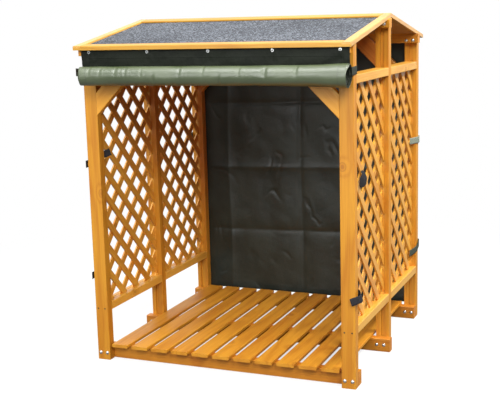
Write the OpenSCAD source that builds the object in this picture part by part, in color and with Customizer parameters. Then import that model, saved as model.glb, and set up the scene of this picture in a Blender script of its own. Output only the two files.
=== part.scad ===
// Log store: an open timber frame on three floor beams, with lattice sides,
// a shallow felted roof, a rolled front sheet and a hung back sheet.

/* [Frame] */
// Width over the outer faces of the posts
frame_w = 1400; // [1200:10:1600]
// Depth over the front and rear posts
frame_d = 1273; // [1100:1:1400]
// Width of a post across the front
post_w = 70; // [60:1:84]
// Thickness of a post from front to back
post_t = 48; // [42:1:56]
// Radius that eases the long edges of the timber
ease = 3; // [1:0.5:5]
// Distance from a post's outer face to its groove
groove_inset = 24; // [18:1:28]
// Width of the groove that holds the lattice
groove_w = 18; // [17:1:20]
// Depth of the groove that holds the lattice
groove_d = 10; // [6:1:14]

/* [Floor] */
// Height of the floor beams
floor_beam_h = 70; // [50:1:100]
// Thickness of the floor beams
floor_beam_t = 48; // [36:1:60]
// How far the middle floor beam runs past the posts
floor_beam_proud = 16; // [4:1:30]
// Number of floor slats
slat_n = 11; // [8:1:13]
// Gap between two slats
slat_gap = 25; // [6:1:36]
// Thickness of a slat
slat_t = 17; // [12:1:24]
// Distance from the posts' front faces to the slat ends
slat_setback = 5; // [0:1:30]

/* [Sides] */
// Height of a side rail
rail_h = 41; // [38:1:60]
// Height of the lower rails' undersides
lower_rail_z = 262; // [180:1:400]
// Drop from the ridge to the upper rails' undersides
upper_rail_drop = 310; // [290:1:420]
// Width of a lattice strip
strip_w = 35; // [24:1:48]
// Thickness of a lattice strip
strip_t = 8; // [6:0.5:8.4]
// Distance between two strips, square to their length
strip_pitch = 97; // [70:1:120]
// Distance from a front post to the first diamond's middle
front_diamond_y = 111; // [20:1:130]
// Distance from a middle post to the first diamond's middle
rear_diamond_y = 99; // [20:1:130]
// Height of the front panels' first diamond above the lower rail
front_diamond_z = 8; // [0:1:130]
// Height of the rear panels' first diamond above the lower rail
rear_diamond_z = 56; // [0:1:130]

/* [Braces] */
// Width of a knee brace
brace_w = 80; // [50:1:90]
// Thickness of a knee brace
brace_t = 36; // [20:1:42]
// Drop from the roof to the front braces' feet
front_brace_drop = 336; // [280:1:450]
// Drop from the roof to the middle braces' feet
middle_brace_drop = 237; // [200:1:240]
// Drop from the roof to the rear braces' feet
rear_brace_drop = 322; // [280:1:450]

/* [Roof] */
// Height of the ridge over its battens
ridge_h = 1745; // [1720:1:1850]
// Pitch of the roof in degrees
roof_pitch = 9.7; // [8:0.1:10.5]
// How far the eaves stand out from the posts
eave_out = 68; // [60:1:110]
// How far the roof stands out past the posts at each side
verge_out = 8; // [0:1:40]
// Thickness of the roof boards
board_t = 9; // [6:1:15]
// Thickness of the felt
felt_t = 2; // [1:0.5:4]
// Thickness of the battens on the felt
batten_t = 10; // [6:1:16]
// Width of the battens along the verges
verge_batten_w = 40; // [25:1:60]
// Thickness of the lip that covers the boards' ends at a verge
verge_lip_t = 12; // [6:1:18]
// Width of the battens along the ridge
ridge_batten_w = 60; // [30:1:80]
// Width of the battens along the eaves
eave_batten_w = 40; // [25:1:60]
// Thickness of the eave battens' front edge
eave_batten_t = 18; // [10:1:20]
// Height of the eave battens' front edge
eave_batten_h = 21; // [20:1:30]
// Thickness of the top beams
top_beam_t = 48; // [36:1:60]
// Height of the front top beam
front_beam_h = 40; // [34:1:60]
// How far the front top beam stops short of the posts' outer faces
front_beam_in = 10; // [0:1:30]
// Height of the ridge beam
ridge_beam_h = 46; // [34:1:60]
// Height of the rear top beam
rear_beam_h = 52; // [34:1:60]
// How far the ridge beam and the rear top beam run past the posts
top_beam_proud = 16; // [4:1:30]

/* [Sheets] */
// Thickness of the sheets
sheet_t = 2; // [1:0.5:4]
// Radius of the rolled front sheet
roll_r = 48; // [30:1:52]
// Drop from the front top beam to the roll's middle
roll_drop = 94; // [60:1:200]
// How far the roll's left end stops short of the posts' outer faces
roll_left_in = 42; // [0:1:60]
// How far the roll's right end runs past the posts' outer faces
roll_right_out = 14; // [0:1:16]
// Distance of the hanging part's left edge from the posts' outer faces
flap_left_in = 28; // [0:1:60]
// Distance of the hanging part's right edge from the posts' outer faces
flap_right_in = 2; // [0:1:60]
// Distance of the back sheet's edges from the posts' outer faces
back_in = 3; // [0:1:60]
// Height of the back sheet's hem
back_z = 70; // [20:1:300]
// Width of a strap
strap_w = 36; // [15:1:45]
// Thickness of a strap
strap_t = 2; // [1:0.5:4]
// How far a strap laps onto a post's front or back face
strap_lap = 20; // [8:1:22]
// Length of a strap's loose tail
tail_l = 90; // [40:1:160]
// Distance from a post's back to the loose tail
tail_y = 92; // [2:1:200]
// Height of the lower straps on the front posts
tie_low_z = 440; // [350:1:700]
// Height of the upper straps on the front posts
tie_high_z = 1048; // [900:1:1200]
// Height of the lower straps on the rear posts
back_tie_low_z = 411; // [330:1:700]
// Height of the upper straps on the rear posts
back_tie_high_z = 1032; // [900:1:1200]

/* [Fixings] */
// Diameter of a bolt's domed head
bolt_d = 19; // [14:0.5:24]
// Height of a bolt's domed head
bolt_h = 6; // [4:0.5:8]
// Distance between the two bolts of a joint
bolt_gap = 38; // [30:1:44]
// How far the top beams' bolts sit outside the posts' middles
top_bolt_out = 4; // [0:0.5:6]
// Height of the bolts in the floor beams
bolt_z = 37; // [28:1:44]
// Number of screws along the front sheet
screw_n = 5; // [3:1:9]
// Diameter of a screw's washer
washer_d = 15; // [8:1:24]
// Distance of the end screws from the hanging part's edges
screw_in = 43; // [20:1:90]
// Drop from the roof boards to the screws
screw_drop = 14; // [13:1:24]
// Diameter of the screw heads that hold the lower rails
rail_screw_d = 8; // [5:0.5:10]
// How far a screw head stands out
rail_screw_h = 0.8; // [0.5:0.1:2]

/* [Hidden] */
half_w = frame_w/2;
inner_w = half_w - post_w;
y_mid_post = frame_d/2 - post_t/2;
y_rear_post = frame_d - post_t;
y_ridge = frame_d/2;
roof_stack = (board_t + felt_t + batten_t)/cos(roof_pitch);
under_ridge = ridge_h - roof_stack;
roof_half = half_w + verge_out;
y_eave = -eave_out;
y_board = y_eave + eave_batten_t;
roll_y = -top_beam_t - roll_r;
roll_z = under_ridge - y_ridge*tan(roof_pitch) - front_beam_h - roll_drop;
roll_left = half_w - roll_left_in;
roll_right = half_w + roll_right_out;
flap_left = half_w - flap_left_in;
flap_right = half_w - flap_right_in;
back_w = frame_w - 2*back_in;
upper_rail_z = ridge_h - upper_rail_drop;
grit_z = board_t + felt_t;
batten_top = grit_z + batten_t;
board_half = roof_half - verge_lip_t;
y_front = min(roll_y - roll_r, y_eave);
y_back = frame_d + eave_out;
y_shift = -(y_front + y_back)/2;
far = frame_d + frame_w;
groove_x = half_w - groove_inset - groove_w/2;
slat_step = 2*inner_w/slat_n;
slat_w = slat_step - slat_gap;
diag = strip_pitch*sqrt(2);
panel_z0 = lower_rail_z + rail_h - groove_d;
panel_z1 = upper_rail_z + groove_d - 1;
edge_w = groove_d - 2;
bolt_x = half_w - post_w/2;
wood = [0.85, 0.56, 0.22];
wood_pale = [0.93, 0.70, 0.38];
board_brown = [0.52, 0.30, 0.14];
felt_grey = [0.36, 0.40, 0.46];
sheet_green = [0.17, 0.19, 0.15];
strap_green = [0.33, 0.38, 0.30];
strap_black = [0.08, 0.08, 0.09];
steel = [0.75, 0.76, 0.78];
$fn = 48;

// Height of a roof layer at depth y, at thickness t above the boards' underside
function roof_z(y, t) =
  under_ridge + t/cos(roof_pitch) - abs(y - y_ridge)*tan(roof_pitch);

// Outline of a planed timber with eased edges, about its middle
function eased(w, h) = [
  for (corner = [[1, 1, 0], [-1, 1, 90], [-1, -1, 180], [1, -1, 270]])
    for (turn = [0, 45, 90])
      [corner[0]*(w/2 - ease) + ease*cos(corner[2] + turn),
       corner[1]*(h/2 - ease) + ease*sin(corner[2] + turn)]];

// Put the store's front-to-back middle at the origin
module placed() {
  translate([0, y_shift, 0]) children();
}

// Draw for the right side, or mirrored for the left
module on_side(side) {
  if (side > 0) children();
  else mirror([1, 0, 0]) children();
}

// Run a (depth, height) outline across the width
module run_x(x0, x1) {
  translate([x0, 0, 0]) rotate([90, 0, 90]) linear_extrude(x1 - x0) children();
}

// Run a (width, height) outline from front to back
module run_y(y0, y1) {
  translate([0, y1, 0]) rotate([90, 0, 0]) linear_extrude(y1 - y0) children();
}

// All the room under the roof boards
module under_roof() {
  run_x(-far, far) polygon([[-far, -far], [far, -far], [far, roof_z(far, 0)],
    [y_ridge, under_ridge], [-far, roof_z(-far, 0)]]);
}

// Post on one side, grooved towards its neighbours and cut to the roof
module post(side, y0, front_groove, back_groove) {
  color(wood) placed() on_side(side) intersection() {
    linear_extrude(ridge_h) difference() {
      translate([half_w - post_w/2, y0 + post_t/2]) polygon(eased(post_w, post_t));
      if (front_groove)
        translate([groove_x - groove_w/2, y0 - 1]) square([groove_w, groove_d + 1]);
      if (back_groove)
        translate([groove_x - groove_w/2, y0 + post_t - groove_d])
          square([groove_w, groove_d + 1]);
    }
    under_roof();
  }
}

// Beam across the store, its underside at z0 and its front face at y0
module beam(y0, t, z0, h, half_len) {
  run_x(-half_len, half_len) translate([y0 + t/2, z0 + h/2]) polygon(eased(t, h));
}

module floor_beam(y0, half_len) {
  color(wood) placed() beam(y0, floor_beam_t, 0, floor_beam_h, half_len);
}

// Floor boards from front to back, between the posts
module floor_slats() {
  color(wood) placed() for (n = [0 : slat_n - 1])
    translate([-inner_w + (n + 0.5)*slat_step, 0, floor_beam_h + slat_t/2])
      run_y(slat_setback, y_rear_post) polygon(eased(slat_w, slat_t));
}

// Beam under the roof, its top cut to the pitch
module top_beam(y0, h, half_len) {
  high = max(roof_z(y0, 0), roof_z(y0 + top_beam_t, 0));
  color(wood) placed() intersection() {
    beam(y0, top_beam_t, high - h, h + top_beam_t, half_len);
    under_roof();
  }
}

// Front and rear rails of one side, grooved above or below for the lattice
module rails(side, z0, groove_up) {
  color(wood_pale) placed() on_side(side)
    for (bay = [[post_t, y_mid_post], [y_mid_post + post_t, y_rear_post]])
      run_y(bay[0], bay[1]) difference() {
        translate([half_w - post_w/2, z0 + rail_h/2]) polygon(eased(post_w, rail_h));
        translate([groove_x - groove_w/2, groove_up ? z0 + rail_h - groove_d : z0 - 1])
          square([groove_w, groove_d + 1]);
      }
}

// Parallel strips at 45 degrees, cut to a panel
module strips(y0, y1, first_y, first_z, lean) {
  count = ceil((y1 - y0 + panel_z1 - panel_z0)/diag) + 1;
  intersection() {
    translate([y0, panel_z0]) square([y1 - y0, panel_z1 - panel_z0]);
    for (n = [-count : count])
      translate([first_y + (n + 0.5)*diag, lower_rail_z + rail_h + first_z])
        rotate(lean*45) square([4*frame_d, strip_w], center = true);
  }
}

// Edge lath of a panel, which lies in the grooves
module edge_lath(y0, y1) {
  difference() {
    translate([y0, panel_z0]) square([y1 - y0, panel_z1 - panel_z0]);
    translate([y0 + edge_w, panel_z0 + edge_w])
      square([y1 - y0 - 2*edge_w, panel_z1 - panel_z0 - 2*edge_w]);
  }
}

// Lattice panel of two layers, fused where the strips cross, in its edge lath
module lattice(side, front, back, diamond_y, diamond_z) {
  y0 = front - groove_d + 1;
  y1 = back + groove_d - 1;
  color(wood_pale) placed() translate([side*groove_x, 0, 0]) {
    run_x(-0.1, strip_t) strips(y0, y1, front + diamond_y, diamond_z, -1);
    run_x(-strip_t, 0.1) strips(y0, y1, front + diamond_y, diamond_z, 1);
    run_x(-strip_t, strip_t) edge_lath(y0, y1);
  }
}

// Knee brace at 45 degrees, from a post's inner face up to the roof
module brace(side, y0, drop) {
  foot_z = roof_z(y0, 0) - drop;
  color(wood) placed() on_side(side) intersection() {
    translate([inner_w, y0 + brace_t/2, foot_z + brace_w/sqrt(2)]) rotate([0, -45, 0])
      translate([0, 0, -brace_w]) linear_extrude(far) polygon(eased(brace_w, brace_t));
    run_y(y0, y0 + brace_t) translate([inner_w - far, 0]) square(far);
    under_roof();
  }
}

// Roof layer on one slope, between two depths and two thicknesses
module roof_layer(slope, y0, y1, t0, t1, x0, x1) {
  a = slope > 0 ? 2*y_ridge - y0 : y0;
  b = slope > 0 ? 2*y_ridge - y1 : y1;
  run_x(x0, x1) polygon([[a, roof_z(a, t0)], [b, roof_z(b, t0)],
    [b, roof_z(b, t1)], [a, roof_z(a, t1)]]);
}

module roof_board(slope) {
  color(board_brown) placed()
    roof_layer(slope, y_board, y_ridge, 0, board_t, -board_half, board_half);
}

module felt(slope) {
  color(felt_grey) placed()
    roof_layer(slope, y_board, y_ridge, board_t, grit_z, -board_half, board_half);
}

// Batten over the boards' edge along an eave, stepped down under the verge battens
module eave_batten(slope) {
  bottom = roof_z(y_eave, batten_top) - eave_batten_h;
  reach = roof_half - verge_batten_w;
  color(wood_pale) placed() translate([0, slope > 0 ? frame_d : 0, 0])
    mirror([0, slope > 0 ? 1 : 0, 0]) {
      run_x(-roof_half, roof_half) polygon([[y_eave, bottom], [y_board, bottom],
        [y_board, roof_z(y_board, grit_z)], [y_eave, roof_z(y_eave, grit_z)]]);
      run_x(-reach, reach) polygon([[y_eave, bottom], [y_board, bottom],
        [y_board, roof_z(y_board, grit_z)],
        [y_eave + eave_batten_w, roof_z(y_eave + eave_batten_w, grit_z)],
        [y_eave + eave_batten_w, roof_z(y_eave + eave_batten_w, batten_top)],
        [y_eave + ease, roof_z(y_eave + ease, batten_top)],
        [y_eave, roof_z(y_eave, batten_top) - ease]]);
    }
}

// Axes of one slope: x across, y up the slope, z square to the boards
module on_slope(slope) {
  translate([0, y_ridge, under_ridge]) rotate([-slope*roof_pitch, 0, 0]) children();
}

// Batten along one verge of one slope, with a lip over the boards' ends
module verge_batten(side, slope) {
  x0 = roof_half - verge_batten_w;
  color(wood_pale) placed() on_side(side) {
    intersection() {
      roof_layer(slope, y_eave, y_ridge, grit_z, batten_top, x0, roof_half);
      on_slope(slope) run_y(-far, far) polygon([[x0, 0], [roof_half, 0],
        [roof_half, batten_top - ease], [roof_half - ease, batten_top],
        [x0 + ease, batten_top], [x0, batten_top - ease]]);
    }
    roof_layer(slope, y_board, y_ridge, 0, grit_z, board_half, roof_half);
  }
}

// Batten along the ridge, between the verge battens
module ridge_batten(slope) {
  reach = roof_half - verge_batten_w;
  color(wood_pale) placed() intersection() {
    roof_layer(slope, y_board, y_ridge, grit_z, batten_top, -reach, reach);
    on_slope(slope) run_x(-reach, reach)
      translate([slope*ridge_batten_w/2, grit_z + batten_t/2])
        polygon(eased(ridge_batten_w + 2*ease, batten_t));
  }
}

// Front sheet: a flap on the top beam's face and the roll that it hangs
module front_tarp() {
  color(sheet_green) placed() {
    translate([-roll_left, roll_y, roll_z]) rotate([0, 90, 0])
      cylinder(r = roll_r, h = roll_left + roll_right);
    run_x(-flap_left, flap_right)
      translate([-top_beam_t - sheet_t, roll_z])
        square([sheet_t, roof_z(-top_beam_t - sheet_t, 0) - roll_z - 4]);
  }
}

// Back sheet on the rear posts
module back_tarp() {
  color(sheet_green) placed()
    run_x(-back_w/2, back_w/2) translate([frame_d, back_z])
      square([sheet_t, roof_z(frame_d + sheet_t, 0) - back_z - 4]);
}

// Strap that lies on a post's outer face and laps onto its front or back
module post_strap(side, z, y0, y1, front_lap, back_lap) {
  on_side(side) translate([0, 0, z - strap_w/2]) linear_extrude(strap_w) {
    translate([half_w, y0]) square([strap_t, y1 - y0]);
    if (front_lap > 0)
      translate([half_w - front_lap, y0 - strap_t]) square([front_lap + strap_t, strap_t]);
    if (back_lap > 0)
      translate([half_w - back_lap, y1]) square([back_lap + strap_t, strap_t]);
  }
}

// Ties that hold the roll's ends to the front posts
module roll_ties() {
  color(strap_green) placed() for (side = [-1, 1])
    post_strap(side, roll_z + strap_w/2, -top_beam_t, post_t, 0, strap_lap);
}

// Straps of the back sheet, round the rear posts
module back_straps() {
  color(strap_green) placed() for (side = [-1, 1], z = [back_tie_low_z, back_tie_high_z])
    post_strap(side, z, y_rear_post, frame_d + sheet_t, strap_lap, strap_lap);
}

// Hook-and-loop straps on the front posts: three lie on the outer faces, one of
// them with a tab inside, and the fourth hangs as a tail outside the lattice
module post_straps() {
  color(strap_black) placed() {
    post_strap(1, tie_low_z, 0, post_t, strap_lap, strap_lap);
    for (z = [tie_low_z, tie_high_z])
      post_strap(-1, z, 0, post_t, 0, strap_lap);
    translate([-inner_w - strap_lap, post_t, tie_high_z + strap_w/2])
      cube([strap_lap + 2*strap_t, strap_t, strap_w]);
    translate([half_w - strap_lap, post_t, tie_high_z - strap_w/2])
      cube([strap_lap, strap_t, strap_w]);
    translate([groove_x + strip_t, post_t + tail_y, tie_high_z - strap_w/2 - tail_l])
      cube([strap_t, strap_w, tail_l]);
  }
}

// Domed bolt head on a face that looks forwards
module bolt_head(x, y, z) {
  sphere_r = (bolt_d*bolt_d/4 + bolt_h*bolt_h)/(2*bolt_h);
  translate([x, y, z]) rotate([90, 0, 0]) intersection() {
    translate([0, 0, bolt_h - sphere_r]) sphere(sphere_r);
    cylinder(d = bolt_d + 2, h = bolt_h + 1);
  }
}

module bolt_pairs(y, z, out = 0) {
  for (side = [-1, 1], step = [-0.5, 0.5])
    bolt_head(side*(bolt_x + out) + step*bolt_gap, y, z);
}

module floor_bolts() {
  color(steel) placed() {
    bolt_pairs(0, bolt_z);
    bolt_pairs(y_mid_post - floor_beam_t, bolt_z);
    bolt_pairs(y_rear_post - floor_beam_t, bolt_z);
  }
}

module top_bolts() {
  y_ridge_beam = y_mid_post - top_beam_t;
  y_rear_beam = y_rear_post - top_beam_t;
  color(steel) placed() {
    bolt_pairs(y_ridge_beam, roof_z(y_mid_post, 0) - ridge_beam_h + bolt_d, top_bolt_out);
    bolt_pairs(y_rear_beam, roof_z(y_rear_beam, 0) - rear_beam_h + 0.75*bolt_d, top_bolt_out);
  }
}

// Screws through the front posts into the lower rails
module rail_screws() {
  color(steel) placed() for (side = [-1, 1], step = [-0.5, 0.5])
    translate([side*bolt_x + step*bolt_gap, 0, lower_rail_z + rail_h/3])
      rotate([90, 0, 0]) cylinder(d = rail_screw_d, h = rail_screw_h);
}

// Washered screws that hold the front sheet to its beam
module tarp_screws() {
  reach = flap_right - screw_in;
  left = -flap_left + screw_in;
  y = -top_beam_t - sheet_t;
  color(steel) placed() for (n = [0 : screw_n - 1])
    translate([left + n*(reach - left)/(screw_n - 1), y, roof_z(y, 0) - screw_drop])
      rotate([90, 0, 0]) {
        cylinder(d = washer_d, h = 1.5);
        cylinder(d = washer_d*0.45, h = 3.5);
      }
}

post(-1, 0, false, true);  // post_front_left
post(1, 0, false, true);  // post_front_right
post(-1, y_mid_post, true, true);  // post_middle_left
post(1, y_mid_post, true, true);  // post_middle_right
post(-1, y_rear_post, true, false);  // post_rear_left
post(1, y_rear_post, true, false);  // post_rear_right
floor_beam(post_t, half_w);  // floor_beam_front
floor_beam(y_mid_post - floor_beam_t, half_w + floor_beam_proud);  // floor_beam_middle
floor_beam(y_rear_post - floor_beam_t, half_w);  // floor_beam_rear
floor_slats();
top_beam(-top_beam_t, front_beam_h, half_w - front_beam_in);  // top_beam_front
top_beam(y_mid_post - top_beam_t, ridge_beam_h, half_w + top_beam_proud);  // ridge_beam
top_beam(y_rear_post - top_beam_t, rear_beam_h, half_w + top_beam_proud);  // top_beam_rear
rails(-1, upper_rail_z, false);  // rails_upper_left
rails(1, upper_rail_z, false);  // rails_upper_right
rails(-1, lower_rail_z, true);  // rails_lower_left
rails(1, lower_rail_z, true);  // rails_lower_right
lattice(-1, post_t, y_mid_post, front_diamond_y, front_diamond_z);  // lattice_front_left
lattice(1, post_t, y_mid_post, front_diamond_y, front_diamond_z);  // lattice_front_right
lattice(-1, y_mid_post + post_t, y_rear_post, rear_diamond_y, rear_diamond_z);  // lattice_rear_left
lattice(1, y_mid_post + post_t, y_rear_post, rear_diamond_y, rear_diamond_z);  // lattice_rear_right
brace(-1, 0, front_brace_drop);  // brace_front_left
brace(1, 0, front_brace_drop);  // brace_front_right
brace(-1, y_mid_post, middle_brace_drop);  // brace_middle_left
brace(1, y_mid_post, middle_brace_drop);  // brace_middle_right
brace(-1, y_rear_post, rear_brace_drop);  // brace_rear_left
brace(1, y_rear_post, rear_brace_drop);  // brace_rear_right
roof_board(-1);  // roof_board_front
roof_board(1);  // roof_board_rear
felt(-1);  // felt_front
felt(1);  // felt_rear
eave_batten(-1);  // eave_batten_front
eave_batten(1);  // eave_batten_rear
verge_batten(-1, -1);  // verge_batten_front_left
verge_batten(1, -1);  // verge_batten_front_right
verge_batten(-1, 1);  // verge_batten_rear_left
verge_batten(1, 1);  // verge_batten_rear_right
ridge_batten(-1);  // ridge_batten_front
ridge_batten(1);  // ridge_batten_rear
front_tarp();
back_tarp();
roll_ties();
back_straps();
post_straps();
floor_bolts();
top_bolts();
tarp_screws();
rail_screws();
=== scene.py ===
import bmesh
import bpy
from math import cos, exp, pi, sin, sqrt
from mathutils import Matrix, Vector, noise


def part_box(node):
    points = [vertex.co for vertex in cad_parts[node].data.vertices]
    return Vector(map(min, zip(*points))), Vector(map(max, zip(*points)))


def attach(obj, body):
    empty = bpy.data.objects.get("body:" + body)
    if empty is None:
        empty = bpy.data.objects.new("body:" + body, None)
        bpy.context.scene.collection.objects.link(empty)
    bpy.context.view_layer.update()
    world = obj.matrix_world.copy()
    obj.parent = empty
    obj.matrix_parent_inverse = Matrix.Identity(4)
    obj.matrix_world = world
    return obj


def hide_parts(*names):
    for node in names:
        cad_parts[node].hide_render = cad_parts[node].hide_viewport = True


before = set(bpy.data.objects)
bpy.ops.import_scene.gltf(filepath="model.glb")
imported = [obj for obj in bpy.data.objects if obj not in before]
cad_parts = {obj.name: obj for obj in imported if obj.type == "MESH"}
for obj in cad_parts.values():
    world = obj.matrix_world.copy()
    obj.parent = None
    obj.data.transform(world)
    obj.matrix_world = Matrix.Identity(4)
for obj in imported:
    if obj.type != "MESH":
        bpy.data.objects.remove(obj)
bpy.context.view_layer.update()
print("frame loaded,", len(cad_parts), "nodes")

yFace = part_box("post_front_left")[0].y  # depths are measured from the front posts' faces
diagonal = sqrt(0.5)  # sine and cosine of 45 degrees


def at(x, y, z):
    return Vector((x, y + yFace, z))


# where the picture was taken from
cameraLook = {
    "place": at(1.9835, -4.3001, 1.7401),
    "yaw": 0.39627,
    "pitch": 0.18098,
    "roll": -0.02623,
    "lens": 71.76,
    "sensor": 36,
    "reach": 100,
}


def placeCamera(look):
    yaw, pitch, roll = look["yaw"], look["pitch"], look["roll"]
    ahead = Vector((-sin(yaw) * cos(pitch), cos(yaw) * cos(pitch), -sin(pitch)))
    right = Vector((cos(yaw), sin(yaw), 0))
    up = right.cross(ahead)
    across = cos(roll) * right + sin(roll) * up
    upright = -sin(roll) * right + cos(roll) * up
    cam = bpy.data.cameras.new("photoCamera")
    cam.lens = look["lens"]
    cam.sensor_width = look["sensor"]
    cam.clip_end = look["reach"]
    obj = bpy.data.objects.new("photoCamera", cam)
    bpy.context.collection.objects.link(obj)
    turn = Matrix((across, upright, -ahead)).transposed()
    obj.matrix_world = Matrix.Translation(look["place"]) @ turn.to_4x4()
    bpy.context.scene.camera = obj


placeCamera(cameraLook)
print("camera placed")


# small helpers for shader nodes
def setInputs(tree, node, values):
    for key, value in values.items():
        if isinstance(value, bpy.types.NodeSocket):
            tree.links.new(value, node.inputs[key])
        else:
            node.inputs[key].default_value = value


def add(tree, kind, values=None, **settings):
    node = tree.nodes.new("ShaderNode" + kind)
    for key, value in settings.items():
        setattr(node, key, value)
    setInputs(tree, node, values or {})
    return node


def calc(tree, operation, a, b=0.0):
    return add(tree, "Math", {0: a, 1: b}, operation=operation).outputs[0]


def plus(tree, a, b):
    return calc(tree, "ADD", a, b)


def minus(tree, a, b):
    return calc(tree, "SUBTRACT", a, b)


def times(tree, a, b):
    return calc(tree, "MULTIPLY", a, b)


def apart(tree, a, b):
    return calc(tree, "ABSOLUTE", minus(tree, a, b))


def wave(tree, value, length):
    return calc(tree, "SINE", times(tree, value, 2 * pi / length))


def join(tree, x, y, z):
    return add(tree, "CombineXYZ", {0: x, 1: y, 2: z}).outputs[0]


def split(tree, vector):
    return add(tree, "SeparateXYZ", {0: vector}).outputs


def vectorCalc(tree, operation, a, b):
    return add(tree, "VectorMath", {0: a, 1: b}, operation=operation).outputs[0]


def stretch(tree, vector, scale):
    return vectorCalc(tree, "MULTIPLY", vector, scale)


def measure(tree, vector):
    return add(tree, "VectorMath", {0: vector}, operation="LENGTH").outputs["Value"]


def choose(tree, fac, a, b):
    return add(tree, "Mix", {0: fac, 2: a, 3: b}).outputs[0]


def blend(tree, fac, a, b, how="MIX"):
    node = add(tree, "Mix", {0: fac, 6: a, 7: b}, data_type="RGBA", blend_type=how)
    return node.outputs[2]


def spread(tree, value, low, high, toLow=0.0, toHigh=1.0, how="SMOOTHSTEP"):
    ends = {"Value": value, "From Min": low, "From Max": high, "To Min": toLow, "To Max": toHigh}
    return add(tree, "MapRange", ends, interpolation_type=how).outputs[0]


def cloud(tree, vector, scale, detail=2.0, rough=0.5):
    values = {"Vector": vector, "Scale": scale, "Detail": detail, "Roughness": rough}
    return add(tree, "TexNoise", values).outputs["Fac"]


def objectPlace(tree):
    return add(tree, "TexCoord").outputs["Object"]


def startMaterial(name):
    mat = bpy.data.materials.new(name)
    mat.use_nodes = True
    return mat, mat.node_tree, mat.node_tree.nodes["Principled BSDF"]


def addBump(tree, shader, height, relief):
    bump = add(tree, "Bump", {"Height": height, **relief})
    tree.links.new(bump.outputs[0], shader.inputs["Normal"])


def rgba(color):
    return (*color, 1.0)


cloudSpan = (0.3, 0.7)  # most of a cloud's values lie between these

# stained softwood, one material for each way the grain runs
stains = {
    "frame": {"early": (0.67, 0.298, 0.022), "late": (0.49, 0.166, 0.008), "wax": 0.04},
    "floor": {"early": (0.64, 0.247, 0.019), "late": (0.457, 0.134, 0.0065), "wax": 0.06},
    "lattice": {"early": (0.80, 0.395, 0.046), "late": (0.62, 0.235, 0.017), "wax": 0.6},
    "rail": {"early": (0.80, 0.420, 0.060), "late": (0.64, 0.280, 0.026), "wax": 0.4},
    "batten": {"early": (0.585, 0.302, 0.029), "late": (0.463, 0.197, 0.012), "wax": 0.2},
    # painted light: the verge battens take a paler copy of the eave battens' stain, for their lit top and
    # outer side
    "verge": {"early": (0.70, 0.375, 0.060), "late": (0.57, 0.255, 0.026), "wax": 0.8},
    # painted light: a paler copy of the wood for the front braces, lightening them where the roll above
    # shades them
    "pale": {"early": (0.90, 0.435, 0.046), "late": (0.76, 0.300, 0.020), "wax": 0.10},
    # painted shade: a darker, redder copy of the wood for the middle braces, which sit in the roof's shade in
    # the gables
    "inner": {"early": (0.44, 0.142, 0.016), "late": (0.32, 0.082, 0.006), "wax": 0.0},
    "board": {"early": (0.46, 0.25, 0.105), "late": (0.33, 0.155, 0.055), "wax": 0.0},
}
knotLook = {
    "cell": (0.10, 0.10, 0.44),  # each long cell of the wood holds one knot or none
    "shape": (1, 1, 0.75),
    "markShape": (1, 0.5, 0.85),
    "color": (0.30, 0.10, 0.018),
    "core": (0.006, 0.012),  # radii between which the dark middle fades
    "coreShare": 0.6,
    "rim": 0.0165,  # radius of the thin ring
    "rimWidth": (0.0005, 0.0035),
    "rimShare": 0.5,
    "halo": (0.010, 0.030),
    "haloShare": 0.35,
    "bendReach": 0.055,  # how far off the growth rings still bend
    "bend": 0.16,
}
woodLook = {
    "ringGrain": (1, 1, 0.075),  # each pattern is drawn out along the grain
    "ringScale": 9.0,
    "ringRough": 0.4,
    "rings": 7.0,
    "ringSharp": 1.8,
    "ringDepth": 0.55,
    "fibreGrain": (1, 1, 0.025),
    "fibreScale": 240.0,
    "fibreRough": 0.6,
    "fibreDepth": 0.45,
    "fibreSpan": (0.25, 0.75),
    "patchGrain": (1, 1, 0.3),
    "patchScale": 4.0,
    "patchDepth": 0.22,
    "boardShift": 9.0,  # each board comes from another part of a tree
    "boardDepth": 0.18,
    "depth": 0.85,
    "rough": 0.44,
    "roughSpan": (-0.06, 0.10),
    "gloss": 0.5,
    "waxRough": 0.30,
    "fibreHeight": 0.7,
    "ringHeight": -0.3,
    "relief": {"Strength": 0.25, "Distance": 0.0006},
}
slatRows = {"half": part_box("post_front_right")[0].x, "count": 11}  # slats between the posts' inner faces
latticeRows = {
    "plane": sum(corner.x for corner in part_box("lattice_front_right")) / 2,  # middle of a panel
    "pitch": 0.097,
    "starts": (0.003, 0.0545),  # where each layer's strips are counted from
    "layerSeed": 57.0,  # keeps the strips of the two layers from being alike
}
# painted shade: lattice and posts are darkened and reddened inside the store, on inward faces, more so higher
# up and further back, where the roof's shade falls
paintedShadeLook = {
    "tints": {"lattice": (0.86, 0.68, 0.74), "up": (0.94, 0.74, 1.0)},
    "facing": 0.5,
    "depthShare": 0.45,
    "fade": (0.70, 1.25),  # from low in front to high at the back
    "inside": 0.66,
    "behind": -0.3,  # the middle and rear posts stand behind this
    "railFade": (1.40, 1.47),
}


def latticeCoords(tree, x, y, z):  # the two layers of a panel lean opposite ways
    rows = latticeRows
    beyond = minus(tree, calc(tree, "ABSOLUTE", x), rows["plane"])
    layer = calc(tree, "GREATER_THAN", times(tree, x, beyond), 0.0)
    falling = times(tree, minus(tree, y, z), diagonal)
    rising = times(tree, plus(tree, y, z), diagonal)
    along = choose(tree, layer, rising, falling)
    over = choose(tree, layer, falling, rising)
    start = choose(tree, layer, *rows["starts"])
    strip = calc(tree, "ROUND", calc(tree, "DIVIDE", minus(tree, over, start), rows["pitch"]))
    strip = plus(tree, strip, times(tree, layer, rows["layerSeed"]))
    return join(tree, over, x, along), strip


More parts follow.
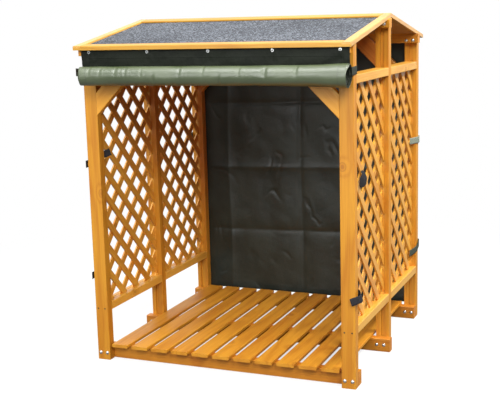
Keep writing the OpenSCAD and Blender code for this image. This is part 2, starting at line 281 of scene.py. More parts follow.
def grainCoords(tree, way):  # object coordinates with the grain along z, and a number for each board
    obj = objectPlace(tree)
    x, y, z = split(tree, obj)
    if way == "up":
        return obj, None
    if way == "across":
        return join(tree, y, z, x), None
    if way == "back":
        return join(tree, x, z, y), None
    if way == "slats":
        rowsPerMetre = slatRows["count"] / (2 * slatRows["half"])
        row = times(tree, plus(tree, x, slatRows["half"]), rowsPerMetre)
        return join(tree, x, z, y), calc(tree, "FLOOR", row)
    if way == "brace":
        side = calc(tree, "ABSOLUTE", x)
        along = times(tree, minus(tree, z, side), diagonal)
        over = times(tree, plus(tree, z, side), diagonal)
        return join(tree, over, y, along), None
    return latticeCoords(tree, x, y, z)


def knotDistance(tree, place, knots, mark):  # knots sit in a share of the cells, and at a mark
    look = knotLook
    cells = stretch(tree, place, [1 / c for c in look["cell"]])
    spots = add(tree, "TexVoronoi", {"Vector": cells, "Scale": 1.0})
    gap = vectorCalc(tree, "SUBTRACT", place, stretch(tree, spots.outputs["Position"], look["cell"]))
    away = measure(tree, stretch(tree, gap, look["shape"]))
    pick = add(tree, "SeparateColor", {0: spots.outputs["Color"]}).outputs[0]
    away = plus(tree, away, calc(tree, "LESS_THAN", pick, 1 - knots))
    if mark:
        near = vectorCalc(tree, "SUBTRACT", objectPlace(tree), mark)
        away = calc(tree, "MINIMUM", away, measure(tree, stretch(tree, near, look["markShape"])))
    return away


def growthRings(tree, place, away):  # level lines of a long cloud, bent round the knots
    look = woodLook
    rings = cloud(tree, stretch(tree, place, look["ringGrain"]), look["ringScale"], 2.0, look["ringRough"])
    bent = plus(tree, rings, spread(tree, away, 0.0, knotLook["bendReach"], knotLook["bend"], 0.0))
    lines = calc(tree, "SINE", times(tree, bent, 2 * pi * look["rings"]))
    level = plus(tree, times(tree, lines, 0.5), 0.5)
    return calc(tree, "POWER", level, look["ringSharp"])


def drawKnots(tree, color, away, late):
    look = knotLook
    core = times(tree, spread(tree, away, *look["core"], 1.0, 0.0), look["coreShare"])
    rim = spread(tree, apart(tree, away, look["rim"]), *look["rimWidth"], look["rimShare"], 0.0)
    color = blend(tree, calc(tree, "MAXIMUM", core, rim), color, rgba(look["color"]))
    halo = spread(tree, away, *look["halo"], look["haloShare"], 0.0)
    return blend(tree, halo, color, rgba(late))


def paintedShadeMask(tree, way):
    # mask of the painted shade: inward faces, deeper higher up and further back
    look = paintedShadeLook
    x, y, z = split(tree, objectPlace(tree))
    faceX, faceY = split(tree, add(tree, "NewGeometry").outputs["True Normal"])[:2]
    inside = calc(tree, "LESS_THAN", times(tree, x, faceX), -look["facing"])
    deep = spread(tree, plus(tree, z, times(tree, y, look["depthShare"])), *look["fade"])
    if way == "up":  # the front faces of the middle and rear posts too, up to the upper rails
        ahead = calc(tree, "LESS_THAN", faceY, -look["facing"])
        within = calc(tree, "LESS_THAN", calc(tree, "ABSOLUTE", x), look["inside"])
        inside = calc(tree, "MAXIMUM", inside, times(tree, ahead, within))
        inside = times(tree, inside, calc(tree, "GREATER_THAN", y, look["behind"]))
        deep = times(tree, deep, spread(tree, z, *look["railFade"], 1.0, 0.0))
    return times(tree, inside, deep)


def stainedWood(name, stain, way, knots, mark=None):
    look = woodLook
    early, late, wax = (stains[stain][key] for key in ("early", "late", "wax"))
    mat, tree, shader = startMaterial(name)
    place, board = grainCoords(tree, way)
    if board is not None:
        chance = add(tree, "TexWhiteNoise", {"W": board}, noise_dimensions="1D").outputs[0]
        shift = join(tree, 0.0, 0.0, times(tree, chance, look["boardShift"]))
        place = vectorCalc(tree, "ADD", place, shift)
    away = knotDistance(tree, place, knots, mark)
    rings = growthRings(tree, place, away)
    fibre = cloud(tree, stretch(tree, place, look["fibreGrain"]), look["fibreScale"], 3.0, look["fibreRough"])
    patch = cloud(tree, stretch(tree, place, look["patchGrain"]), look["patchScale"])
    fibreTone = times(tree, spread(tree, fibre, *cloudSpan), look["fibreDepth"])
    tone = plus(tree, times(tree, rings, look["ringDepth"]), fibreTone)
    tone = plus(tree, tone, spread(tree, patch, *cloudSpan, -look["patchDepth"], look["patchDepth"]))
    if board is not None:
        boardTone = spread(tree, chance, 0.0, 1.0, -look["boardDepth"], look["boardDepth"], "LINEAR")
        tone = plus(tree, tone, boardTone)
    color = blend(tree, times(tree, tone, look["depth"]), rgba(early), rgba(late))
    color = drawKnots(tree, color, away, late)
    # painted shade: darker, redder inner faces
    if way in paintedShadeLook["tints"]:
        color = blend(tree, paintedShadeMask(tree, way), color, rgba(paintedShadeLook["tints"][way]), "MULTIPLY")
    setInputs(tree, shader, {
        "Base Color": color,
        "Roughness": spread(tree, fibre, *look["fibreSpan"], *[look["rough"] + r for r in look["roughSpan"]]),
        "Specular IOR Level": look["gloss"],
        "Coat Weight": wax,
        "Coat Roughness": look["waxRough"],
    })
    height = plus(tree, times(tree, fibre, look["fibreHeight"]), times(tree, rings, look["ringHeight"]))
    addBump(tree, shader, height, look["relief"])
    return mat


# mineral felt: small flat grains of slate in several greys
feltLook = {
    "grain": 170.0,
    "fineRatio": 2.7,  # a second, finer layer of grains
    "shares": (0.65, 0.35),
    "cloudScale": 2.6,
    "cloudDepth": 0.07,
    "dark": (0.013, 0.015, 0.020),
    "mid": (0.046, 0.053, 0.068),
    "pale": (0.25, 0.272, 0.31),
    "midSpan": (0.22, 0.55),
    "paleSpan": (0.55, 0.88),
    "rough": 0.85,
    "relief": {"Strength": 0.6, "Distance": 0.0012},
}


def mineralFelt(name):
    look = feltLook
    mat, tree, shader = startMaterial(name)
    obj = objectPlace(tree)
    grains = add(tree, "TexVoronoi", {"Vector": obj, "Scale": look["grain"]})
    fine = add(tree, "TexVoronoi", {"Vector": obj, "Scale": look["grain"] * look["fineRatio"]})
    each = add(tree, "SeparateColor", {0: grains.outputs["Color"]}).outputs[0]
    bits = add(tree, "SeparateColor", {0: fine.outputs["Color"]}).outputs[0]
    tone = plus(tree, times(tree, each, look["shares"][0]), times(tree, bits, look["shares"][1]))
    drift = cloud(tree, obj, look["cloudScale"], 3.0)
    tone = plus(tree, tone, spread(tree, drift, *cloudSpan, -look["cloudDepth"], look["cloudDepth"]))
    color = blend(tree, spread(tree, tone, *look["midSpan"]), rgba(look["dark"]), rgba(look["mid"]))
    color = blend(tree, spread(tree, tone, *look["paleSpan"]), color, rgba(look["pale"]))
    setInputs(tree, shader, {"Base Color": color, "Roughness": look["rough"]})
    addBump(tree, shader, minus(tree, 1.0, fine.outputs["Distance"]), look["relief"])
    return mat


# coated woven sheet, its weave and hem laid out on the cloth's own map in metres
sheetLook = {
    "thread": 0.0026,
    "creaseScale": 13.0,
    "creaseRough": 0.55,
    "creaseWidth": 0.11,
    "creasePale": 0.25,
    "dullScale": 5.0,
    "dullShare": 0.6,
    "dullRough": (-0.05, 0.08),
    "hem": 0.040,
    "hemStep": 0.001,
    "stitchIn": 0.005,  # from the hem's edge to the row of stitches
    "stitchWidth": (0.0004, 0.0012),
    "stitchLength": 0.007,
    "stitchEnds": 0.2,
    "stitchColor": (0.02, 0.025, 0.018),
    "stitchShare": 0.7,
    "foldShade": 0.35,  # the shade where the hem's fold ends
    "foldWidth": 0.0025,
    "foldShare": 0.5,
    "heights": {"weave": 0.06, "crease": 0.8, "hem": 0.35, "stitch": 0.25},
    "relief": {"Strength": 0.5, "Distance": 0.0016},
}
sheetSides = {
    "reverse": {"color": (0.052, 0.076, 0.028), "pale": (0.088, 0.118, 0.052),
                "rough": 0.37, "gloss": 1.0, "ior": 1.6, "crease": 0.35},
    "face": {"color": (0.010, 0.012, 0.009), "pale": (0.020, 0.024, 0.017),
             "rough": 0.42, "gloss": 0.08, "ior": 1.5, "crease": 0.8},
    "inside": {"color": (0.0165, 0.0215, 0.0163), "pale": (0.0315, 0.0395, 0.0305),
               "rough": 0.36, "gloss": 0.40, "ior": 1.5, "crease": 0.3},
}


def clothMap(tree):
    return add(tree, "UVMap", uv_map="cloth").outputs[0]


def coatedSheet(name, side, width, length):
    look, skin = sheetLook, sheetSides[side]
    mat, tree, shader = startMaterial(name)
    cloth = clothMap(tree)
    u, v = split(tree, cloth)[:2]
    weave = times(tree, wave(tree, u, look["thread"]), wave(tree, v, look["thread"]))
    # small sharp creases left from packing
    lines = cloud(tree, cloth, look["creaseScale"], 3.0, look["creaseRough"])
    crease = spread(tree, apart(tree, lines, 0.5), 0.0, look["creaseWidth"], skin["crease"], 0.0)
    dull = cloud(tree, cloth, look["dullScale"], 3.0)
    dullShare = spread(tree, dull, *cloudSpan, 0.0, look["dullShare"])
    color = blend(tree, dullShare, rgba(skin["color"]), rgba(skin["pale"]))
    color = blend(tree, times(tree, crease, look["creasePale"]), color, rgba(skin["pale"]))
    # the hem is a doubled edge with one row of stitches
    sideEdge = calc(tree, "MINIMUM", u, minus(tree, width, u))
    edge = calc(tree, "MINIMUM", sideEdge, calc(tree, "MINIMUM", v, minus(tree, length, v)))
    hem = spread(tree, edge, look["hem"], look["hem"] + look["hemStep"], 1.0, 0.0)
    row = apart(tree, edge, look["hem"] - look["stitchIn"])
    row = spread(tree, row, *look["stitchWidth"], 1.0, 0.0)
    step = wave(tree, plus(tree, u, v), look["stitchLength"])
    stitch = times(tree, row, spread(tree, step, -look["stitchEnds"], look["stitchEnds"]))
    color = blend(tree, times(tree, stitch, look["stitchShare"]), color, rgba(look["stitchColor"]))
    fold = spread(tree, apart(tree, edge, look["hem"]), 0.0, look["foldWidth"], look["foldShare"], 0.0)
    color = blend(tree, fold, color, rgba([c * look["foldShade"] for c in skin["color"]]))
    setInputs(tree, shader, {
        "Base Color": color,
        "Roughness": spread(tree, dull, *cloudSpan, *[skin["rough"] + r for r in look["dullRough"]]),
        "Specular IOR Level": skin["gloss"],
        "IOR": skin["ior"],
    })
    high = look["heights"]
    height = plus(tree, times(tree, weave, high["weave"]), times(tree, crease, high["crease"]))
    height = plus(tree, height, times(tree, hem, high["hem"]))
    height = minus(tree, height, times(tree, stitch, high["stitch"]))
    addBump(tree, shader, height, look["relief"])
    return mat


# woven tape with slanting ribs
tapeLook = {
    "chevron": 0.012,
    "ribShare": 0.3,
    "fuzzScale": 900.0,
    "fuzzRough": 0.7,
    "toneSpan": (0.2, 0.9),
    "gloss": 0.3,
    "relief": {"Strength": 0.6, "Distance": 0.0005},
}


def wovenTape(name, dark, pale, rib, rough):
    look = tapeLook
    mat, tree, shader = startMaterial(name)
    cloth = clothMap(tree)
    u, v = split(tree, cloth)[:2]
    zigzag = apart(tree, calc(tree, "MODULO", u, look["chevron"]), look["chevron"] / 2)
    ribs = wave(tree, plus(tree, zigzag, v), rib)
    fuzz = cloud(tree, cloth, look["fuzzScale"], 3.0, look["fuzzRough"])
    tone = plus(tree, times(tree, ribs, look["ribShare"]), fuzz)
    color = blend(tree, spread(tree, tone, *look["toneSpan"]), rgba(dark), rgba(pale))
    setInputs(tree, shader, {"Base Color": color, "Roughness": rough, "Specular IOR Level": look["gloss"]})
    addBump(tree, shader, tone, look["relief"])
    return mat


# zinc plated steel; a screw head that stands out of its washer is darker
zincLook = {
    "smearScale": 120.0,
    "smearRough": 0.6,
    "smearSpan": (0.3, 0.75),
    "smearShade": 0.78,
    "rough": (0.22, 0.40),
}


def zincSteel(name, pale, head=None):
    look = zincLook
    mat, tree, shader = startMaterial(name)
    obj = objectPlace(tree)
    smear = cloud(tree, obj, look["smearScale"], 3.0, look["smearRough"])
    shade = rgba([c * look["smearShade"] for c in pale])
    color = blend(tree, spread(tree, smear, *look["smearSpan"]), rgba(pale), shade)
    if head:
        proud = calc(tree, "LESS_THAN", split(tree, obj)[1], yFace - head["out"])
        color = blend(tree, proud, color, rgba(head["color"]))
    roughness = spread(tree, smear, *cloudSpan, *look["rough"])
    setInputs(tree, shader, {"Base Color": color, "Metallic": 1.0, "Roughness": roughness})
    return mat


finishes = {
    "post": stainedWood("postWood", "frame", "up", 0.35, at(0.644, 0.0, 1.061)),
    "beam": stainedWood("beamWood", "frame", "across", 0.5),
    "floorBeam": stainedWood("floorBeamWood", "floor", "across", 0.5),
    "slat": stainedWood("slatWood", "frame", "slats", 0.4),
    "brace": stainedWood("braceWood", "floor", "brace", 0.3),
    # front braces: painted light against the roll's shadow
    "frontBraceLit": stainedWood("frontBraceLitWood", "pale", "brace", 0.3),
    # middle braces: painted shade
    "middleBraceShaded": stainedWood("middleBraceShadedWood", "inner", "brace", 0.3),
    "rail": stainedWood("railWood", "rail", "back", 0.3),
    "lattice": stainedWood("latticeWood", "lattice", "lattice", 0.2),
    "verge": stainedWood("vergeLitWood", "verge", "back", 0.25),
    "batten": stainedWood("battenWood", "batten", "across", 0.25),
    "board": stainedWood("boardWood", "board", "across", 0.4),
    "felt": mineralFelt("roofFelt"),
    "bolt": zincSteel("boltZinc", (0.60, 0.61, 0.63)),
    "washer": zincSteel("washerZinc", (0.42, 0.44, 0.43), {"out": 0.0519, "color": (0.10, 0.10, 0.10)}),
    "screw": zincSteel("screwZinc", (0.20, 0.15, 0.10)),
    "greenTape": wovenTape("greenTape", (0.15, 0.172, 0.130), (0.34, 0.38, 0.305), 0.0030, 0.42),
    "shadeTape": wovenTape("shadeTape", (0.032, 0.038, 0.027), (0.080, 0.092, 0.066), 0.0030, 0.55),
    "tieTape": wovenTape("tieTape", (0.015, 0.018, 0.012), (0.038, 0.044, 0.030), 0.0030, 0.7),
    "blackTape": wovenTape("blackTape", (0.006, 0.006, 0.008), (0.030, 0.030, 0.036), 0.0022, 0.9),
}
# the first start of a node's name that fits gives its finish
nodeFinish = [
    ("post_straps", "blackTape"), ("post_", "post"), ("floor_beam", "floorBeam"), ("floor_slats", "slat"),
    ("top_beam", "beam"), ("ridge_beam", "beam"), ("rails_", "rail"), ("lattice_", "lattice"),
    ("brace_front", "frontBraceLit"), ("brace_middle", "middleBraceShaded"), ("brace_", "brace"),
    ("roof_board", "board"), ("felt_", "felt"), ("verge_", "verge"), ("eave_", "batten"),
    ("ridge_batten", "batten"), ("floor_bolts", "bolt"), ("top_bolts", "bolt"),
    ("tarp_screws", "washer"), ("rail_screws", "screw"),
]


def dressNodes():
    for name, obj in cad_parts.items():
        for start, finish in nodeFinish:
            if name.startswith(start):
                for slot in obj.material_slots:
                    slot.material = finishes[finish]
                break


dressNodes()
print("CAD nodes dressed")


# cloth is a grid with one map, in metres, and a place for each point of it
def clothPiece(name, grid, size, place, skins, thick, pace=lambda v: v):
    bm = bmesh.new()
    bmesh.ops.create_grid(bm, x_segments=grid[0], y_segments=grid[1], size=0.5)
    cloth = bm.loops.layers.uv.new("cloth")
    for face in bm.faces:
        face.smooth = True
        for loop in face.loops:
            u, v = loop.vert.co.x + 0.5, pace(loop.vert.co.y + 0.5)
            loop[cloth].uv = (u * size[0], v * size[1])
    for vert in bm.verts:
        vert.co = place(vert.co.x + 0.5, pace(vert.co.y + 0.5))
    mesh = bpy.data.meshes.new(name)
    bm.to_mesh(mesh)
    bm.free()
    obj = bpy.data.objects.new(name, mesh)
    bpy.context.collection.objects.link(obj)
    for skin in skins:
        obj.data.materials.append(skin)
    wall = obj.modifiers.new("wall", "SOLIDIFY")
    wall.thickness = thick
    wall.offset = 0.0
    wall.material_offset = len(skins) - 1  # the second skin is on the other side
    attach(obj, "root")
    return obj


def ease(t):
    t = min(max(t, 0.0), 1.0)
    return t * t * (3 - 2 * t)


def hump(t):
    return exp(-t ** 2)


def track(points, t):  # smooth value through a few (place, value) pairs
    for (a, low), (b, high) in zip(points, points[1:]):
        if t <= b:
            return low + (high - low) * ease((t - a) / (b - a))
    return points[-1][1]


def noiseAt(*place):
    return noise.noise(Vector(place))


sheetThick = 0.0009

# the front sheet: screwed along the beam, hung down behind the roll and wound into it
frontSheet = {
    "grid": (276, 170),
    "width": 1.366,
    "top": 1.6030,
    "face": -0.0495,
    "drop": 0.1220,  # from the top edge to the back of the roll
    "radius": 0.0475,
    "step": 0.0034,  # from turn to turn
    "turns": 7.4,
    # its left and right edges, down the hanging part and then turn by turn into the roll
    "left": [(0.0, -0.674), (0.5, -0.670), (1.0, -0.664)],
    "right": [(0.0, 0.698), (1.0, 0.700)],
    "rollLeft": [(0.0, -0.664), (0.25, -0.648), (0.5, -0.638), (0.75, -0.650), (1.0, -0.645),
                 (2.0, -0.642), (7.4, -0.636)],
    "rollRight": [(0.0, 0.700), (0.2, 0.707), (0.5, 0.711), (0.8, 0.712), (1.05, 0.709), (1.40, 0.704),
                  (1.68, 0.717), (2.0, 0.702), (2.7, 0.704), (3.3, 0.692), (7.4, 0.680)],
    # the roll is fatter at its right end
    "swell": [(-0.70, 1.0), (-0.2, 0.985), (0.30, 0.99), (0.55, 1.04), (0.72, 1.16)],
    "screws": [-0.628, -0.307, 0.014, 0.335, 0.656],
    # slack between the screws, with folds that fan out under them
    "slack": {"depth": 0.0045, "reach": 0.16, "fall": 1.15},
    "folds": {"depth": 0.0022, "across": 16, "lean": 3.0, "down": 2.0, "seed": 4.7},
    "pinch": {"depth": 0.0018, "fan": 0.05, "width": 0.014, "fall": 1.6},
    # how the roll's surface stands in and out, less and less towards its middle
    "loose": {"fade": 0.25, "start": 1.2, "most": 0.0012},
    "lumps": {"depth": 0.0018, "fineDepth": 0.0007, "across": 7.0, "around": 1.1, "fine": 3.1},
    # dents by place, share of a turn, depth and size, each with a lower crest beside it
    "dents": [(-0.585, 0.62, 0.0048, 0.007), (-0.525, 0.60, 0.0028, 0.008), (-0.440, 0.60, 0.0036, 0.008),
              (-0.385, 0.58, 0.0026, 0.007), (-0.300, 0.57, 0.0028, 0.007), (-0.235, 0.44, 0.0050, 0.009),
              (-0.10, 0.60, 0.0030, 0.007), (0.02, 0.64, 0.0045, 0.007), (0.10, 0.42, 0.0040, 0.009),
              (0.20, 0.60, 0.0030, 0.008), (0.325, 0.58, 0.0085, 0.014), (0.475, 0.62, 0.0060, 0.009)],
    "dent": {"depth": 0.8, "crest": 0.4, "crestOff": 1.7, "turn": 0.085},
}
turnStep = frontSheet["step"] / (2 * pi)
rollAngle = 2 * pi * frontSheet["turns"]
rollLength = frontSheet["radius"] * rollAngle - turnStep * rollAngle ** 2 / 2
frontLength = frontSheet["drop"] + rollLength
frontWidth = frontSheet["width"]
rollZ = frontSheet["top"] - frontSheet["drop"]


def hungPlace(u, run):
    look = frontSheet
    slack, folds, pinch = look["slack"], look["folds"], look["pinch"]
    t = run / look["drop"]
    left, right = track(look["left"], t), track(look["right"], t)
    x = left + u * (right - left)
    near = min(abs(x - s) for s in look["screws"])
    out = slack["depth"] * ease(near / slack["reach"]) * sin(pi * min(t * slack["fall"], 1.0)) ** 2
    ripple = noiseAt(x * folds["across"] + t * folds["lean"], t * folds["down"], folds["seed"])
    out += ripple * folds["depth"] * sin(pi * t)
    fan = hump((near - pinch["fan"] * t) / pinch["width"])
    out += pinch["depth"] * fan * sin(pi * min(t * pinch["fall"], 1.0))
    return at(x, look["face"] - max(out, 0.0), look["top"] - run)


def rolledPlace(u, arc):
    look = frontSheet
    loose, lumps, dent = look["loose"], look["lumps"], look["dent"]
    rest = max(look["radius"] ** 2 - 2 * turnStep * arc, 0.0)
    angle = (look["radius"] - sqrt(rest)) / turnStep
    turn = angle / (2 * pi)
    left, right = track(look["rollLeft"], turn), track(look["rollRight"], turn)
    x = left + u * (right - left)
    around = Vector((x * lumps["across"], cos(angle) * lumps["around"], sin(angle) * lumps["around"]))
    push = noise.noise(around) * lumps["depth"] + noise.noise(around * lumps["fine"]) * lumps["fineDepth"]
    for dentX, dentTurn, depth, size in look["dents"]:
        share = depth * hump(((turn % 1.0) - dentTurn) / dent["turn"])
        push -= dent["depth"] * share * hump((x - dentX) / size)
        push += dent["crest"] * share * hump((x - dentX - dent["crestOff"] * size) / size)
    freedom = exp(-turn * loose["fade"]) * ease(angle / loose["start"])
    radius = look["radius"] - turnStep * angle + min(push, loose["most"]) * freedom
    swell = track(look["swell"], x)
    middle = look["face"] - look["radius"] * swell  # its back stays in line with the hanging part
    return at(x, middle + radius * swell * cos(angle), rollZ - radius * swell * sin(angle))


def frontPlace(u, v):
    run = v * frontLength
    if run < frontSheet["drop"]:
        return hungPlace(u, run)
    return rolledPlace(u, run - frontSheet["drop"])


def frontPace(v):  # more rows where it shows
    return 0.5 * v + 0.5 * v * v


frontSkins = [coatedSheet("frontReverse", "reverse", frontWidth, frontLength),
              coatedSheet("frontFace", "face", frontWidth, frontLength)]
frontTarp = clothPiece("frontTarp", frontSheet["grid"], (frontWidth, frontLength), frontPlace,
                       frontSkins, sheetThick, frontPace)
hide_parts("front_tarp")
print("front sheet wound, %.3f m long" % frontLength)


# the back sheet: flat on the rear posts, with the folds it was packed in
backSheet = {
    "grid": (188, 208),
    "half": 0.697,
    "bottom": 0.070,
    "top": 1.6105,
    "face": 1.2740,
    "foldsX": [(-0.480, -0.0075), (-0.012, 0.0085), (0.456, -0.0075)],
    "foldsZ": [(1.240, 0.0085), (0.850, -0.0070), (0.460, 0.0070)],
    "sharp": 0.022,
    "bowX": (0.006, 5),  # the folds are not quite straight
    "bowZ": (0.012, 2.2),
    "puff": 0.0075,
    "puffScale": (2.1, 1.7),
    "ripple": 0.0028,
    "rippleScale": (7.0, 3.0),
    "held": 0.640,  # the posts hold the sides flat from here on
    "heldFade": 0.10,
    "sway": 0.0016,
    "swayScale": (4, 23),
    "warp": 0.25,
    "warpScale": 5,
    "facet": 0.0050,
    "facetScale": (8, 7),
    "facetMiddle": 0.4,
    "crease": 0.0032,
    "creaseScale": (11, 8),
    "creaseWarp": 4,
    "creaseWidth": 0.08,
    "creaseShare": (2.6, -0.25, 0.4),  # how patchy, how many, and how many more to the right
    "creasePatch": 8,
    "patchShift": 4,
    "seeds": {"puff": 2.0, "ripple": 9.0, "warp": 1.5, "facet": 0.3, "crease": 7.7, "patch": 2.2},
}
backWidth = 2 * backSheet["half"]
backLength = backSheet["top"] - backSheet["bottom"]


def crumple(x, z):  # broad facets, with short creases here and there
    look, seeds = backSheet, backSheet["seeds"]
    bend = noiseAt(x * look["warpScale"], z * look["warpScale"], seeds["warp"]) * look["warp"]
    across, up = look["facetScale"]
    broad = noise.voronoi(Vector((x * across + bend, z * up - bend, seeds["facet"])))[0][0]
    across, up = look["creaseScale"]
    bend *= look["creaseWarp"]
    line = noiseAt(x * across + bend, z * up - bend, seeds["crease"])
    patchy, many, right = look["creaseShare"]
    often = look["creasePatch"]
    patch = noiseAt(x * often + look["patchShift"], z * often, seeds["patch"])
    where = ease(patchy * patch + many + right * x)
    facet = look["facet"] * (broad - look["facetMiddle"])
    return facet + look["crease"] * hump(line / look["creaseWidth"]) * where


def backPlace(u, v):
    look, seeds = backSheet, backSheet["seeds"]
    x = -look["half"] + u * backWidth
    z = look["bottom"] + v * backLength
    free = ease((look["held"] - abs(x)) / look["heldFade"])
    across, up = look["puffScale"]
    push = noiseAt(x * across, z * up, seeds["puff"]) * look["puff"]
    across, up = look["rippleScale"]
    push += noiseAt(x * across, z * up, seeds["ripple"]) * look["ripple"]
    push += crumple(x, z)
    bow, often = look["bowX"]
    for foldX, depth in look["foldsX"]:
        push += depth * exp(-abs(x - foldX - bow * sin(z * often)) / look["sharp"])
    bow, often = look["bowZ"]
    for foldZ, depth in look["foldsZ"]:
        push += depth * exp(-abs(z - foldZ - bow * sin(x * often)) / look["sharp"])
    across, up = look["swayScale"]
    sway = look["sway"] * (1 - free) * (1 + sin(z * up + x * across))
    return at(x, look["face"] + push * free + sway, z)


backSkins = [coatedSheet("backFace", "inside", backWidth, backLength),
             coatedSheet("backReverse", "reverse", backWidth, backLength)]
backTarp = clothPiece("backTarp", backSheet["grid"], (backWidth, backLength), backPlace,
                      backSkins, sheetThick)
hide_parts("back_tarp")
print("back sheet hung")

# straps are flat tapes that follow a few points, each with its own cross direction
strapLook = {
    "tieWidth": 0.038,
    "rearWidth": 0.036,
    "frontWidth": 0.036,
    "thick": 0.0016,
    "frontThick": 0.0022,
    "cols": 6,
    "rowsPerPoint": 8,
}
up = (0, 0, 1)


def strapPiece(name, points, width, finish, thick, taper=None):
    last = len(points) - 1
    marks = [Vector(mark) for mark, side in points]
    sides = [Vector(side).normalized() for mark, side in points]
    length = sum((b - a).length for a, b in zip(marks, marks[1:]))

    def between(values, t):  # a smooth curve through the values
        k = min(int(t), last - 1)
        a, b = values[max(k - 1, 0)], values[k]
        c, d = values[k + 1], values[min(k + 2, last)]
        s = t - k
        square, cube = 2 * a - 5 * b + 4 * c - d, 3 * b - a - 3 * c + d
        return 0.5 * (2 * b + (c - a) * s + square * s ** 2 + cube * s ** 3)

    def place(u, v):
        t = v * last
        wide = width * (track(taper, v) if taper else 1.0)
        return between(marks, t) + between(sides, t).normalized() * (u - 0.5) * wide

    grid = (strapLook["cols"], strapLook["rowsPerPoint"] * last)
    return clothPiece(name, grid, (width, length), place, [finishes[finish]], thick)


def rollTie(side, name):
    tie = [(0.682, 0.0496, 1.497), (0.694, 0.0497, 1.497), (0.7005, 0.0480, 1.497), (0.7015, 0.0400, 1.497),
           (0.7020, 0.0150, 1.496), (0.7030, -0.0100, 1.495), (0.7040, -0.0320, 1.495),
           (0.7030, -0.0500, 1.496), (0.6990, -0.0640, 1.498)]
    points = [(at(side * x, y, z), up) for x, y, z in tie]
    return strapPiece("rollTie" + name, points, strapLook["tieWidth"], "tieTape",
                      strapLook["thick"])


# the rear straps start at the lattice and lie round the post; the lower one rises
rearPath = [(0.679, 1.1540, -0.25), (0.6835, 1.1690, -0.21), (0.690, 1.1900, -0.12), (0.6978, 1.2130, 0.04),
            (0.7038, 1.2300, 0.25), (0.7065, 1.2450, 0.6), (0.7075, 1.2620, 0.9), (0.7030, 1.2755, 1.0),
            (0.6920, 1.2790, 1.0), (0.6750, 1.2792, 1.0), (0.6560, 1.2790, 1.0)]
rearLevels = [("High", 1.036, 0.002, "greenTape"), ("Low", 0.401, 0.036, "shadeTape")]


def rearStraps(side, name):
    straps = []
    for level, z, tilt, finish in rearLevels:
        points = [(at(side * x, y, z + tilt * rise), up) for x, y, rise in rearPath]
        straps.append(strapPiece("backTape" + level + name, points, strapLook["rearWidth"], finish,
                                 strapLook["thick"]))
    return straps


def frontStrap(name, points, taper=None):
    points = [(at(*place), side) for place, side in points]
    return strapPiece(name, points, strapLook["frontWidth"], "blackTape",
                      strapLook["frontThick"], taper)


def frontStraps():
    # the right lower strap comes out behind the post, and its stiff end lies over the corner
    lean = (-0.30, 0, 0.95)
    folded = [((0.6780, 0.0570, 0.462), up), ((0.6920, 0.0575, 0.460), (-0.1, 0, 0.97)),
              ((0.7080, 0.0530, 0.456), (-0.2, 0, 0.96)), ((0.7190, 0.0400, 0.4500), lean),
              ((0.7232, 0.0260, 0.4445), lean), ((0.7200, 0.0150, 0.4400), lean),
              ((0.7080, 0.0050, 0.4360), lean), ((0.6955, -0.0056, 0.4320), lean),
              ((0.6830, -0.0160, 0.4280), lean)]
    straps = [frontStrap("postTapeLowRight", folded)]
    # the right upper strap hangs as a twisted tail outside the lattice
    tail = [((0.6700, 0.2000, 1.0120), (0.1, 0.97, 0.2)), ((0.6800, 0.1960, 1.0125), (0.2, 0.95, 0.2)),
            ((0.6880, 0.1870, 1.0060), (0.35, 0.92, 0.1)), ((0.6920, 0.1770, 0.9940), (0.6, 0.8, 0.0)),
            ((0.6935, 0.1670, 0.9790), (0.85, 0.5, 0.0)), ((0.6935, 0.1590, 0.9620), (0.92, 0.39, 0.05)),
            ((0.6925, 0.1530, 0.9440), (0.92, 0.39, 0.10))]
    taper = [(0.0, 0.5), (0.3, 0.6), (0.62, 1.0), (0.86, 0.95), (1.0, 0.5)]
    straps.append(frontStrap("postTapeHighRight", tail, taper))
    # the left straps pass behind the post: a tab inside, and loose folds outside
    tab = [((-0.6700, 0.0498, 1.074), up), ((-0.6450, 0.0498, 1.075), up),
           ((-0.6280, 0.0500, 1.078), (-0.15, 0, 0.98)), ((-0.6150, 0.0490, 1.083), (-0.3, 0, 0.95)),
           ((-0.5930, 0.0450, 1.092), (-0.35, 0, 0.93))]
    straps.append(frontStrap("postTabHighLeft", tab))
    for level, z, out in (("High", 1.034, 0.0100), ("Low", 0.452, 0.0085)):
        loop = [((-0.6720, 0.0498, z), up), ((-0.6900, 0.0500, z), up), ((-0.7000, 0.0480, z), up),
                ((-0.7030 - out * 0.5, 0.0380, z - 0.002), up), ((-0.7020 - out, 0.0220, z - 0.004), up),
                ((-0.7035 - out, 0.0060, z - 0.004), up), ((-0.7040 - out * 0.5, -0.0040, z - 0.004), up)]
        straps.append(frontStrap("postLoop" + level + "Left", loop))
    return straps


def makeStraps():
    made = {"roll_ties": [], "back_straps": [], "post_straps": []}
    for side, name in ((-1, "Left"), (1, "Right")):
        made["roll_ties"].append(rollTie(side, name))
        made["back_straps"] += rearStraps(side, name)
    made["post_straps"] += frontStraps()
    for node, straps in made.items():
        for strap in straps:
            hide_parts(node)
    return sum(len(straps) for straps in made.values())


print(makeStraps(), "straps made")

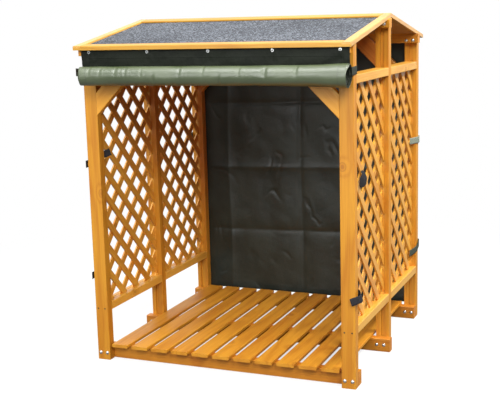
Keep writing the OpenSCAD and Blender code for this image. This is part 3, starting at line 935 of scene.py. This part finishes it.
# plain studio: pale floor, white surroundings, a soft sky and four soft lamps
studio = {
    "floorSize": 30.0,
    "floor": (0.90, 0.90, 0.89),
    "floorRough": 0.95,
    "bounce": (0.04, 0.04, 0.04),  # what the floor throws back on the store
    "mirror": 0.12,  # how much of the pale floor mirror rays see
    "floorGlow": (0.78, 1.0),  # how much of the floor is plain white, near the store and far off
    "floorFade": (1.3, 3.2),
    "sky": (0.25, 1.5),  # light from the sides and from above
    "lamps": [
        ("softBox", (-1.2, -7.0, 2.9), (0.0, -0.6, 1.2), 4.2, 160.0, (1.0, 1.0, 1.0)),
        ("keyLamp", (3.4, -5.4, 4.6), (0.0, 0.0, 0.9), 2.6, 290.0, (1.0, 0.99, 0.97)),
        ("topLamp", (-1.2, -2.8, 6.0), (0.0, -0.6, 1.4), 3.0, 134.0, (1.0, 1.0, 1.0)),
        ("sideLamp", (4.4, 0.5, 6.0), (0.5, 0.0, 1.0), 1.3, 440.0, (1.0, 0.98, 0.94)),
    ],
}
white = (1, 1, 1, 1)


def seenDirectly(tree, mirror=1.0):  # camera, mirror and see-through rays
    rays = add(tree, "LightPath").outputs
    some = calc(tree, "MAXIMUM", rays["Is Camera Ray"], times(tree, rays["Is Glossy Ray"], mirror))
    return calc(tree, "MAXIMUM", some, rays["Is Transmission Ray"])


def makeSky(look):
    world = bpy.data.worlds.new("studioWorld")
    world.use_nodes = True
    tree = world.node_tree
    height = split(tree, add(tree, "TexCoord").outputs["Generated"])[2]
    light = spread(tree, height, 0.0, 1.0, *look["sky"], "LINEAR")
    strength = calc(tree, "MAXIMUM", light, seenDirectly(tree))
    setInputs(tree, tree.nodes["Background"], {"Color": white, "Strength": strength})
    bpy.context.scene.world = world


def floorPaper(look):
    mat, tree, shader = startMaterial("floorPaper")
    direct = seenDirectly(tree, look["mirror"])
    color = blend(tree, direct, rgba(look["bounce"]), rgba(look["floor"]))
    setInputs(tree, shader, {"Base Color": color, "Roughness": look["floorRough"], "Specular IOR Level": 0.0})
    glow = add(tree, "Emission", {"Color": white, "Strength": 1.0})
    plain = spread(tree, measure(tree, objectPlace(tree)), *look["floorFade"], *look["floorGlow"])
    share = times(tree, direct, plain)
    mixed = add(tree, "MixShader", {0: share, 1: shader.outputs[0], 2: glow.outputs[0]})
    tree.links.new(mixed.outputs[0], tree.nodes["Material Output"].inputs["Surface"])
    return mat


def makeFloor(look):
    bm = bmesh.new()
    bmesh.ops.create_grid(bm, x_segments=1, y_segments=1, size=look["floorSize"])
    mesh = bpy.data.meshes.new("studioFloor")
    bm.to_mesh(mesh)
    bm.free()
    floor = bpy.data.objects.new("studioFloor", mesh)
    bpy.context.collection.objects.link(floor)
    floor.data.materials.append(floorPaper(look))


def makeLamps(look):
    for name, place, aim, size, power, color in look["lamps"]:
        lamp = bpy.data.lights.new(name, "AREA")
        lamp.shape = "DISK"
        lamp.size = size
        lamp.energy = power
        lamp.color = color
        obj = bpy.data.objects.new(name, lamp)
        bpy.context.collection.objects.link(obj)
        obj.location = place
        obj.rotation_euler = (Vector(aim) - Vector(place)).to_track_quat("-Z", "Y").to_euler()


makeSky(studio)
makeFloor(studio)
makeLamps(studio)
bpy.context.scene.view_settings.view_transform = "Standard"
print("studio lit")

print("scene finished")
